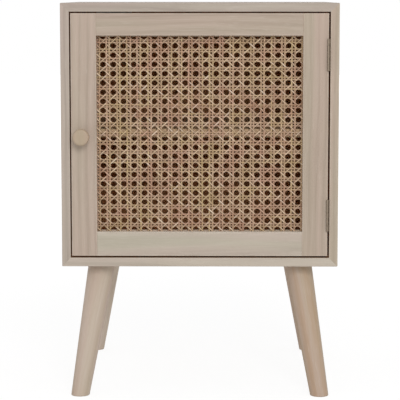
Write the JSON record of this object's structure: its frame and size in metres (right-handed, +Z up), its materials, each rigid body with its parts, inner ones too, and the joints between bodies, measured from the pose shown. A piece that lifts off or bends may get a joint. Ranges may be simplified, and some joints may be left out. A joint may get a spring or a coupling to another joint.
{
  "type": "side table with cupboard",
  "caption": "Small side table: mitred wooden cabinet on splayed tapered legs, with a hinged framed door that holds a woven cane panel, and a shelf inside.",
  "frame": {"origin": "on the floor, in the middle of the footprint of the whole object at rest", "axes": "+X to the right seen from the front, -Y towards the front (the door and knob), +Z up"},
  "size_m": [0.35, 0.33, 0.5],
  "materials": {
    "cabinet_wood": "pale, lightly limed, open grain, matt",
    "door_wood": "pale, lightly limed, straight grain, matt",
    "leg_wood": "pale, lightly limed, turned, matt",
    "knob_wood": "pale, turned, matt",
    "shelf_wood": "pale, matt",
    "plywood": "thin plywood, unfinished",
    "hardwood_key": "beech, unfinished",
    "cane": "woven cane strands, natural, satin",
    "hinge_steel": "zinc plated, satin",
    "fastener_steel": "zinc plated",
    "insert_brass": "machined",
    "catch_plastic": "moulded, pale",
    "magnet_black": "sintered magnet"
  },
  "bodies": {
    "carcass": {"back_panel": "plywood", "back_panel_nails": "fastener_steel", "bottom_panel": "cabinet_wood", "carcass_hinge_screws": "fastener_steel", "catch_housing": "catch_plastic", "catch_magnet": "magnet_black", "catch_pole_plates": "fastener_steel", "catch_screws": "fastener_steel", "corner_splines": "hardwood_key", "front_left_leg": "leg_wood", "front_right_leg": "leg_wood", "left_side_panel": "cabinet_wood", "leg_bolts": "fastener_steel", "leg_dowels": "hardwood_key", "leg_tee_nuts": "fastener_steel", "lower_hinge_carcass_leaf": "hinge_steel", "lower_hinge_pin": "hinge_steel", "rear_left_leg": "leg_wood", "rear_right_leg": "leg_wood", "right_side_panel": "cabinet_wood", "shelf": "shelf_wood", "shelf_pins": "fastener_steel", "top_panel": "cabinet_wood", "upper_hinge_carcass_leaf": "hinge_steel", "upper_hinge_pin": "hinge_steel"},
    "door": {"door_left_stile": "door_wood", "door_right_stile": "door_wood", "door_top_rail": "door_wood", "door_bottom_rail": "door_wood", "cane_webbing": "cane", "cane_bead_top": "door_wood", "cane_bead_bottom": "door_wood", "cane_bead_left": "door_wood", "cane_bead_right": "door_wood", "cane_bead_brads": "fastener_steel", "knob": "knob_wood", "knob_insert": "insert_brass", "knob_screw": "fastener_steel", "strike_plate": "fastener_steel", "strike_screw": "fastener_steel", "upper_hinge_door_leaf": "hinge_steel", "lower_hinge_door_leaf": "hinge_steel", "door_hinge_screws": "fastener_steel"}
  },
  "joints": [
    {"name": "door_hinge", "type": "hinge", "parent": "carcass", "child": "door", "pos_m": [0.1613, -0.14618, 0.3338], "axis": [0, 0, 1], "range_deg": [0, 180]}
  ]
}
